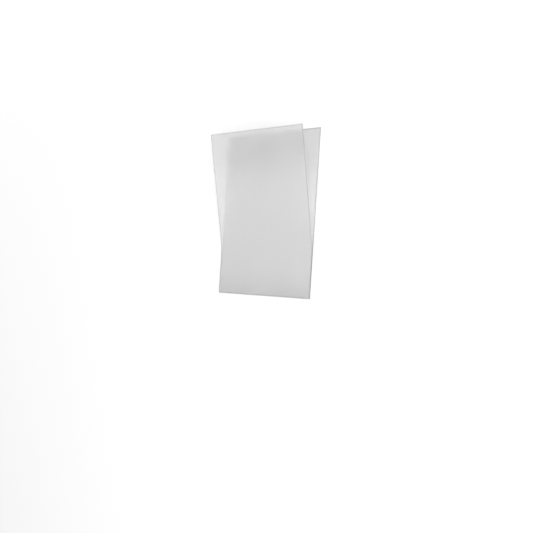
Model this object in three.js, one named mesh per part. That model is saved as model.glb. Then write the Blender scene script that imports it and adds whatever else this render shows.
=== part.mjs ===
// Poster pocket: one sheet of stiff clear film folded once into a U.
// The pocket lies on its flat back leaf. Beside the fold the front leaf lies close to the back
// one. Then it turns up in a soft bend and runs on straight, so the mouth stands open.
// The leaves are square-cornered and of one length, and the mouth and both sides are open.
// X runs along the fold, Y from the fold to the mouth and Z up from the face it lies on.
// The origin is the middle of the floor area that the pocket takes up.

import * as THREE from 'three';

// Driving dimensions, in millimetres
const pocketWidth = 210;
const leafLength = 297; // along the film, from the fold to the mouth
const filmThickness = 0.5;
const foldInnerRadius = 0.75; // half the gap between the leaves beside the fold
const closedLength = 60; // stretch beside the fold where the leaves run level
const bendRadius = 200; // of the front leaf's soft bend, at the middle of the film

// Angle between the leaves at the mouth, in degrees
const flareAngle = 14;

// Half the number of straight steps in each arc
const arcFineness = 12;

// Film colour and finish
const filmColour = 0xe6e8ea;
const filmRoughness = 0.45;
const filmOpacity = 0.5;

// Side view of the sheet with its wall thickness, drawn as one closed line: out along the outer
// face, across the cut edge at the mouth, and back along the inner face.
// Here x is the distance from the fold's centre towards the mouth, and y is the height.
// The soft bend's centre is above the leaf, so the inner face takes the larger radius.
function filmSection() {
  const foldOuterRadius = foldInnerRadius + filmThickness;
  const bendOuterFace = bendRadius - filmThickness / 2;
  const bendInnerFace = bendRadius + filmThickness / 2;
  const bendHeight = 2 * foldOuterRadius + bendOuterFace;
  const flare = THREE.MathUtils.degToRad(flareAngle);
  const down = -Math.PI / 2;
  const up = Math.PI / 2;
  const afterBend = down + flare;
  const straightLength = leafLength - closedLength - bendRadius * flare;

  // A point at the mouth, as far from the bend's centre as its face is
  function mouthCorner(faceRadius) {
    return new THREE.Vector2(
      closedLength + faceRadius * Math.sin(flare) + straightLength * Math.cos(flare),
      bendHeight - faceRadius * Math.cos(flare) + straightLength * Math.sin(flare),
    );
  }
  const outerCorner = mouthCorner(bendOuterFace);
  const innerCorner = mouthCorner(bendInnerFace);

  const section = new THREE.Shape();
  section.moveTo(leafLength, 0);
  section.lineTo(0, 0);
  section.absarc(0, foldOuterRadius, foldOuterRadius, down, up, true);
  section.absarc(closedLength, bendHeight, bendOuterFace, down, afterBend, false);
  section.lineTo(outerCorner.x, outerCorner.y);
  section.lineTo(innerCorner.x, innerCorner.y);
  section.absarc(closedLength, bendHeight, bendInnerFace, afterBend, down, true);
  section.absarc(0, foldOuterRadius, foldInnerRadius, up, down, false);
  section.lineTo(leafLength, filmThickness);
  section.closePath();
  return section;
}

// The section carried along the fold for the whole width of the pocket
function filmGeometry() {
  return new THREE.ExtrudeGeometry(filmSection(), {
    depth: pocketWidth,
    steps: 1,
    curveSegments: arcFineness,
    bevelEnabled: false,
  });
}

function filmMaterial() {
  return new THREE.MeshStandardMaterial({
    color: filmColour,
    roughness: filmRoughness,
    metalness: 0,
    transparent: true,
    opacity: filmOpacity,
  });
}

// The quarter turns bring the section upright, with its length along Y and its width along X.
// Lengthwise the pocket runs from the back of the fold to the edge of the flat leaf, because the
// front leaf, being bent, ends a little sooner.
function foldedFilm() {
  const behindFold = foldInnerRadius + filmThickness;
  const film = new THREE.Mesh(filmGeometry(), filmMaterial());
  film.name = 'folded_film';
  film.rotation.set(Math.PI / 2, Math.PI / 2, 0);
  film.position.set(-pocketWidth / 2, (behindFold - leafLength) / 2, 0);
  return film;
}

const posterPocket = new THREE.Group();
posterPocket.add(foldedFilm());

export default posterPocket;
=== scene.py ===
"""Looks of a poster pocket: one sheet of stiff anti-glare film, folded once into a U.

The pocket lies on its flat back leaf on a pale floor. Its front leaf lies close to the back one
beside the fold, turns up in a soft bend and runs on straight to the open mouth.
Lengths are in metres. X runs along the fold, Y from the fold to the mouth, Z up.
"""

import math

import bpy
import numpy as np
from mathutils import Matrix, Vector


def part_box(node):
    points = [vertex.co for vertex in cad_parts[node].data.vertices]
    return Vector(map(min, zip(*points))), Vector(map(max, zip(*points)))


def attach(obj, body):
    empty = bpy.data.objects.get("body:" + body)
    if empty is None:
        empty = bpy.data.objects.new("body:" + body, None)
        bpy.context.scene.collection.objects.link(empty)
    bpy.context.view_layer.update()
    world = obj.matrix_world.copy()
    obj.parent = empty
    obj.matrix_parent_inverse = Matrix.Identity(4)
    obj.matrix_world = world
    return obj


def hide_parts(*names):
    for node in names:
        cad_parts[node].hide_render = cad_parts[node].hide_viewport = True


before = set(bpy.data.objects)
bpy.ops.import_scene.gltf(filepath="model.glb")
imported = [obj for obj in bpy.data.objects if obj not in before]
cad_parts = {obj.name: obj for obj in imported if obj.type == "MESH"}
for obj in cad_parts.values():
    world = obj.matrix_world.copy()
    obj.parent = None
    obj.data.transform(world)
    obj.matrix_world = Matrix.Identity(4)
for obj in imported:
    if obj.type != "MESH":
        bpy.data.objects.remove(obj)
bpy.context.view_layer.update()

# The sheet, where the frame's box doesn't give it
FILM_THICKNESS = 0.0005
FOLD_INNER_RADIUS = 0.00075
CLOSED_LENGTH = 0.06
BEND_RADIUS = 0.2

# How finely the sheet is worked out and drawn, and the turn past which an edge looks sharp
ANGLE_HALVINGS = 50
LEAF_STEPS = 110
FOLD_STEPS = 16
WIDTH_STEPS = 60
SHARP_TURN = math.radians(40)

# Rigid PVC, pressed matt
PVC_IOR = 1.54
FILM_TINT = "#FCFCFC"
# The grey that the film is drawn towards at the crease, along the painted dark edge line and where
# shade is painted
CREASE_EDGE_AND_SHADE_TINT = "#A9A9A9"
SHARE_LET_THROUGH = 0.75
FILM_ROUGHNESS = 0.26
STREAK_ROUGHNESS = 0.02
EDGE_DARK_TINT = "#9B9B9B"
EDGE_LIGHT_TINT = "#B7B7B7"
EDGE_ROUGHNESS = 0.5

# Grain, streaks and painted shade on the film. Real matt grain is about 0.2 mm, too fine to show,
# so it is drawn coarser, and so is the painted dark line along a cut edge, which stands for the
# light that runs along inside the sheet there.
GRAIN_SIZE = 0.0008
GRAIN_HEIGHT = 0.00001
EDGE_LINE = 0.0016
SHEAR_LINE = 0.0006
STREAK_WIDTH = 0.02
STREAK_LENGTH = 0.3
# How far the painted shade at the mouth reaches, and the size and reach of the noise that makes the
# painted shade's reach uneven
MOUTH_SHADE_LENGTH = 0.12
SHADE_WOBBLE_SIZE = 0.04
SHADE_WOBBLE_REACH = 0.08

# How grey the crease and the painted shade are, where the painted dark line along a cut edge is 1
CREASE_GREY = 0.4
FOLD_SHADE_GREY = 0.14
MOUTH_SHADE_GREY = 0.15
FRONT_SHADE_GREY = 0.11

# Camera, in metres and degrees, fitted to the pocket's corners and edges
CAMERA_PLACE = (0.78384, -0.13984, 0.97317)
CAMERA_TURN = (5.052, 38.432, 4.863)
CAMERA_LENS_MM = 46.518
SENSOR_MM = 36.0

# Room and light, in metres and watts
FLOOR_SIZE = 8.0
FLOOR_DROP = 0.0003  # below the film, so that their faces stay apart
FLOOR_TINT = "#FCFCFC"
FLOOR_ROUGHNESS = 0.9
SURROUND_TINT = "#FFFFFF"
SURROUND_STRENGTH = 0.76
KEY_PLACE = (1.2, -0.3, 1.2)
KEY_SIZE = (2.0, 2.0)
KEY_WATTS = 19
FILL_PLACE = (-1.4, 1.1, 0.9)
FILL_SIZE = (2.0, 1.0)
FILL_WATTS = 5

# Light crosses both leaves on its way down to the floor and back, and echoes inside them
LIGHT_BOUNCES = 40


def linear(hex_colour):
    """The sRGB hex colour as linear red, green and blue, and an alpha of 1."""
    parts = np.array([int(hex_colour[i : i + 2], 16) for i in (1, 3, 5)]) / 255.0
    low = parts / 12.92
    high = ((parts + 0.055) / 1.055) ** 2.4
    return (*np.where(parts <= 0.04045, low, high).tolist(), 1.0)


# Shape of the sheet


def flare_angle(leaf, rise):
    """Angle between the leaves at the mouth, when the front leaf's outer face rises by rise.

    The outer face rises by its bend radius times 1 - cos(angle), and then by the length of the
    straight run times sin(angle). The angle is found by halving the range that holds it.
    """
    low, high = 0.0, math.pi / 4
    for _ in range(ANGLE_HALVINGS):
        middle = (low + high) / 2
        straight = leaf - CLOSED_LENGTH - BEND_RADIUS * middle
        bend_rise = (BEND_RADIUS - FILM_THICKNESS / 2) * (1 - math.cos(middle))
        if bend_rise + straight * math.sin(middle) < rise:
            low = middle
        else:
            high = middle
    return (low + high) / 2


class Sheet:
    """Sizes of the folded sheet, read from the frame's box."""

    low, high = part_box("folded_film")
    width = high.x - low.x
    fold_outer = FOLD_INNER_RADIUS + FILM_THICKNESS
    fold_mid = FOLD_INNER_RADIUS + FILM_THICKNESS / 2
    fold_y = low.y + fold_outer
    floor_z = low.z
    leaf = high.y - fold_y
    fold_arc = math.pi * fold_mid
    flare = flare_angle(leaf, high.z - low.z - 2 * fold_outer)
    bend_arc = BEND_RADIUS * flare
    length = 2 * leaf + fold_arc


def sheet_line(s):
    """Middle line of the sheet and its outward direction, s metres from the back leaf's edge.

    The line runs straight to the fold and half round a circle. Then it runs level for the closed
    length, up an arc through the flare angle, and straight on at that slope. Returns y, z and
    the y and z of the unit vector out of the pocket.
    """
    back = np.clip(Sheet.leaf - s, 0.0, Sheet.leaf)
    turn = np.clip((s - Sheet.leaf) / Sheet.fold_mid, 0.0, math.pi)
    front = np.clip(s - Sheet.leaf - Sheet.fold_arc, 0.0, Sheet.leaf)
    level = np.minimum(front, CLOSED_LENGTH)
    climb = np.clip((front - CLOSED_LENGTH) / BEND_RADIUS, 0.0, Sheet.flare)
    straight = np.maximum(front - CLOSED_LENGTH - Sheet.bend_arc, 0.0)
    y = back - Sheet.fold_mid * np.sin(turn) + level
    y = y + BEND_RADIUS * np.sin(climb) + straight * math.cos(Sheet.flare)
    z = Sheet.fold_outer - Sheet.fold_mid * np.cos(turn)
    z = z + BEND_RADIUS * (1 - np.cos(climb)) + straight * math.sin(Sheet.flare)
    out_y = -np.sin(turn) - np.sin(climb)
    out_z = np.where(turn < math.pi, -np.cos(turn), np.cos(climb))
    return y + Sheet.fold_y, z + Sheet.floor_z, out_y, out_z


def stations():
    """Distances along the sheet at which its section is drawn, closer together in the fold."""
    leaf = np.linspace(0.0, Sheet.leaf, LEAF_STEPS + 1)
    fold = Sheet.leaf + np.linspace(0.0, Sheet.fold_arc, FOLD_STEPS + 1)
    return np.concatenate([leaf, fold[1:], leaf[1:] + Sheet.leaf + Sheet.fold_arc])


def film_face(side, across, along):
    """One face of the sheet as a grid of points: side is 1 for the outer face, -1 for the inner.

    A point lies half the film's thickness from the middle line, along the outward direction.
    """
    s, x = np.meshgrid(along, across, indexing="ij")
    y, z, out_y, out_z = sheet_line(s)
    shift = side * FILM_THICKNESS / 2
    return np.stack([x, y + shift * out_y, z + shift * out_z], axis=-1)


def grid_quads(number):
    """Quads of a grid, given the numbers of its points in rows and columns."""
    corners = [number[:-1, :-1], number[:-1, 1:], number[1:, 1:], number[1:, :-1]]
    return np.stack([corner.ravel() for corner in corners], axis=1)


def strip_quads(ends_a, ends_b):
    """Quads between two rows of points that run side by side."""
    return np.stack([ends_a[:-1], ends_a[1:], ends_b[1:], ends_b[:-1]], axis=1)


def edge_quads(outer, inner):
    """Quads along the two sides and the two mouths, between the outer and the inner face."""
    return np.concatenate([
        strip_quads(outer[:, 0], inner[:, 0]),
        strip_quads(outer[::-1, -1], inner[::-1, -1]),
        strip_quads(outer[0, ::-1], inner[0, ::-1]),
        strip_quads(outer[-1], inner[-1]),
    ])


def lay_flat(mesh, across, along):
    """Gives the mesh a UV map of the sheet laid flat, in metres across it and along it."""
    s, x = np.meshgrid(along, across, indexing="ij")
    flat_place = np.stack([x, s], axis=-1).reshape(-1, 2)
    flat_place = np.concatenate([flat_place, flat_place])
    corners = np.zeros(len(mesh.loops), dtype=np.int32)
    mesh.loops.foreach_get("vertex_index", corners)
    uv = mesh.uv_layers.new(name="flat_sheet")
    uv.data.foreach_set("uv", flat_place[corners].ravel().astype(np.float32))


def folded_film():
    """The whole sheet: an outer and an inner face, joined by strips along its four cut edges."""
    along = stations()
    across = np.linspace(-Sheet.width / 2, Sheet.width / 2, WIDTH_STEPS + 1)
    points = np.concatenate([film_face(1, across, along), film_face(-1, across, along)])

    outer = np.arange(len(along) * len(across)).reshape(len(along), len(across))
    inner = outer + outer.size
    faces = np.concatenate([grid_quads(outer), grid_quads(inner)[:, ::-1]])
    quads = np.concatenate([faces, edge_quads(outer, inner)])

    mesh = bpy.data.meshes.new("pocket_film")
    mesh.from_pydata(points.reshape(-1, 3).tolist(), [], quads.tolist())
    mesh.materials.append(matt_pvc_film())
    mesh.materials.append(sheared_pvc_edge())
    on_cut_edge = (np.arange(len(quads)) >= len(faces)).astype(np.int32)
    mesh.polygons.foreach_set("material_index", on_cut_edge)
    mesh.shade_smooth()
    mesh.set_sharp_from_angle(angle=SHARP_TURN)
    lay_flat(mesh, across, along)
    mesh.update()

    film = bpy.data.objects.new("pocket_film", mesh)
    bpy.context.scene.collection.objects.link(film)
    return film


# Materials


def socket(sockets, name):
    """The socket whose identifier is name, or None."""
    return next((one for one in sockets if one.identifier == name), None)


def add(material, kind, given, *feeds):
    """Adds a node to a material and returns it.

    What is given by name is a setting of the node, or what an input gets. The feeds are what its
    inputs get in their order. An input gets a value, the output of a node, or a node, of which
    the first output is meant.
    """
    node = material.node_tree.nodes.new("ShaderNode" + kind)
    fed = {entry.identifier: value for entry, value in zip(node.inputs, feeds)}
    for name, value in {**given, **fed}.items():
        entry = socket(node.inputs, name)
        source = value.outputs[0] if isinstance(value, bpy.types.Node) else value
        if isinstance(source, bpy.types.NodeSocket):
            material.node_tree.links.new(source, entry)
        elif entry:
            entry.default_value = source
        else:
            setattr(node, name, source)
    return node


def new_material(name):
    material = bpy.data.materials.new(name)
    material.use_nodes = True
    material.node_tree.nodes.clear()
    return material


def with_surface(material, given):
    """Gives the material its shader, and returns the material."""
    shader = add(material, "BsdfPrincipled", given)
    add(material, "OutputMaterial", {}, shader)
    return material


def between_tints(material, share, first, second):
    """The first tint where the share is 0, the second where it is 1, and even steps between."""
    tints = {"A_Color": linear(first), "B_Color": linear(second)}
    mixed = add(material, "Mix", {"data_type": "RGBA", **tints}, share)
    return socket(mixed.outputs, "Result_Color")


def place_on_flat_sheet(material):
    """Where a point is on the sheet laid flat, in metres across it and along it."""
    return add(material, "UVMap", {"uv_map": "flat_sheet"})


def fading_grey(material, distance, full, gone, grey):
    """Greyness of the given amount where the distance is at most full, fading to none at gone: a
    mark or painted shade.
    """
    reach = {"From Min": full, "From Max": gone, "To Min": grey, "To Max": 0.0}
    return add(material, "MapRange", {"interpolation_type": "SMOOTHSTEP", **reach}, distance)


def film_greys_and_shade(material, place):
    """How grey the film is drawn, from 0 to 1: the strongest of its greys.

    They are a painted dark line along the cut edges, for the light that runs along inside the
    sheet, a grey band at the crease, and painted shade: greyer beside the fold, towards the mouth
    and on the whole front leaf.
    """
    parts = add(material, "SeparateXYZ", {}, place).outputs
    from_middle = add(material, "Math", {"operation": "ABSOLUTE"}, parts["X"])
    past_crease = add(material, "Math", {"operation": "SUBTRACT"}, parts["Y"], Sheet.length / 2)
    to_crease = add(material, "Math", {"operation": "ABSOLUTE"}, past_crease)
    to_side = add(material, "Math", {"operation": "SUBTRACT"}, Sheet.width / 2, from_middle)
    to_mouth = add(material, "Math", {"operation": "SUBTRACT"}, Sheet.length / 2, to_crease)
    to_edge = add(material, "Math", {"operation": "MINIMUM"}, to_side, to_mouth)
    # Painted dark line along the cut edges, for the light that runs along inside the sheet
    painted_dark_edge = fading_grey(material, to_edge, 0.0, EDGE_LINE, 1.0)
    crease = fading_grey(material, to_crease, Sheet.fold_arc / 2, Sheet.fold_arc, CREASE_GREY)

    # Painted shade beside the fold and towards the mouth, with a reach made uneven by noise
    shade_wobble = add(material, "TexNoise", {"Scale": 1 / SHADE_WOBBLE_SIZE}, place)
    swing = {"To Min": -SHADE_WOBBLE_REACH / 2, "To Max": SHADE_WOBBLE_REACH / 2}
    uneven = add(material, "MapRange", swing, shade_wobble)
    from_fold = add(material, "Math", {"operation": "ADD"}, to_crease, uneven)
    from_mouth = add(material, "Math", {"operation": "SUBTRACT"}, to_mouth, uneven)
    fold_shade = fading_grey(material, from_fold, 0.0, CLOSED_LENGTH, FOLD_SHADE_GREY)
    mouth_shade = fading_grey(material, from_mouth, 0.0, MOUTH_SHADE_LENGTH, MOUTH_SHADE_GREY)
    # Painted shade over the whole front leaf, added to the painted shade at the mouth
    on_front = add(material, "Math", {"operation": "GREATER_THAN"}, past_crease, 0.0)
    front_and_mouth_shade = add(material, "Math", {"operation": "MULTIPLY_ADD"}, on_front, FRONT_SHADE_GREY, mouth_shade)

    grey = painted_dark_edge
    for mark in (crease, fold_shade, front_and_mouth_shade):
        grey = add(material, "Math", {"operation": "MAXIMUM"}, grey, mark)
    return grey


def matt_pvc_film():
    """Rigid PVC film, pressed matt between rolls so that it doesn't glare.

    Most light goes through and spreads a little: what touches the film shows clearly behind it,
    and what is farther off blurs. The rest scatters back as a pale grey veil. The rolls leave a
    fine grain and faint streaks along the sheet. Its colour is painted darker along the cut edges
    and painted with shade beside the fold, towards the mouth and on the front leaf, and it is
    greyer at the crease.
    """
    material = new_material("matt_pvc_film")
    place = place_on_flat_sheet(material)
    # Greyness of the crease, the painted dark edge line and the painted shade
    grey_and_shade = film_greys_and_shade(material, place)
    colour = between_tints(material, grey_and_shade, FILM_TINT, CREASE_EDGE_AND_SHADE_TINT)

    stretch = {"Scale": (1.0, STREAK_WIDTH / STREAK_LENGTH, 1.0)}
    stretched = add(material, "Mapping", stretch, place)
    streaks = add(material, "TexNoise", {"Scale": 1 / STREAK_WIDTH}, stretched)
    roughness = add(material, "MapRange", {
        "To Min": FILM_ROUGHNESS - STREAK_ROUGHNESS / 2,
        "To Max": FILM_ROUGHNESS + STREAK_ROUGHNESS / 2,
    }, streaks)

    grain = add(material, "TexNoise", {"Scale": 1 / GRAIN_SIZE, "Detail": 1.0}, place)
    relief = add(material, "Bump", {"Distance": GRAIN_HEIGHT, "Height": grain})

    return with_surface(material, {
        "Base Color": colour,
        "Roughness": roughness,
        "Normal": relief,
        "IOR": PVC_IOR,
        "Transmission Weight": SHARE_LET_THROUGH,
    })


def sheared_pvc_edge():
    """The film's cut edge, which looks darker because light runs along inside the sheet."""
    material = new_material("sheared_pvc_edge")
    place = place_on_flat_sheet(material)
    lines = add(material, "TexNoise", {"Scale": 1 / SHEAR_LINE}, place)
    return with_surface(material, {
        "Base Color": between_tints(material, lines, EDGE_DARK_TINT, EDGE_LIGHT_TINT),
        "Roughness": EDGE_ROUGHNESS,
        "IOR": PVC_IOR,
    })


def studio_floor_paint():
    """Matt white emulsion, rolled on, without any gloss."""
    return with_surface(new_material("studio_floor_paint"), {
        "Base Color": linear(FLOOR_TINT),
        "Roughness": FLOOR_ROUGHNESS,
        "Specular IOR Level": 0.0,
    })


# Room, light and camera


def studio_floor():
    half = FLOOR_SIZE / 2
    height = Sheet.floor_z - FLOOR_DROP
    ways = [(-1, -1), (1, -1), (1, 1), (-1, 1)]
    corners = [(x * half, y * half, height) for x, y in ways]
    mesh = bpy.data.meshes.new("studio_floor")
    mesh.from_pydata(corners, [], [(0, 1, 2, 3)])
    floor = bpy.data.objects.new("studio_floor", mesh)
    bpy.context.scene.collection.objects.link(floor)
    mesh.materials.append(studio_floor_paint())


def softbox(name, place, size, watts):
    """A rectangular soft light at place, turned towards the pocket."""
    light = bpy.data.lights.new(name, "AREA")
    light.shape = "RECTANGLE"
    light.size, light.size_y = size
    light.energy = watts
    lamp = bpy.data.objects.new(name, light)
    lamp.location = place
    lamp.rotation_euler = (-Vector(place)).to_track_quat("-Z", "Y").to_euler()
    bpy.context.scene.collection.objects.link(lamp)


def studio_light():
    """A white surround, a wide soft key light from the right and a weak fill from the left."""
    world = bpy.data.worlds.new("studio")
    bpy.context.scene.world = world
    world.use_nodes = True
    backdrop = world.node_tree.nodes["Background"]
    backdrop.inputs["Color"].default_value = linear(SURROUND_TINT)
    backdrop.inputs["Strength"].default_value = SURROUND_STRENGTH
    softbox("key_softbox", KEY_PLACE, KEY_SIZE, KEY_WATTS)
    softbox("fill_softbox", FILL_PLACE, FILL_SIZE, FILL_WATTS)


def photo_camera():
    lens = bpy.data.cameras.new("camera")
    lens.sensor_width = SENSOR_MM
    lens.lens = CAMERA_LENS_MM
    camera = bpy.data.objects.new("camera", lens)
    camera.location = CAMERA_PLACE
    camera.rotation_euler = [math.radians(angle) for angle in CAMERA_TURN]
    bpy.context.scene.collection.objects.link(camera)
    bpy.context.scene.camera = camera


def light_through_film():
    """Lets light pass the film as often as it needs to, without extra blurring."""
    cycles = bpy.context.scene.cycles
    cycles.blur_glossy = 0.0
    cycles.max_bounces = LIGHT_BOUNCES
    cycles.transmission_bounces = LIGHT_BOUNCES
    cycles.glossy_bounces = LIGHT_BOUNCES
    cycles.diffuse_bounces = LIGHT_BOUNCES


# The whole scene

photo_camera()
studio_light()
studio_floor()
light_through_film()
bpy.context.scene.cycles.use_denoising = True
bpy.context.scene.view_settings.view_transform = "Standard"

film = folded_film()
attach(film, "root")
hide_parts("folded_film")
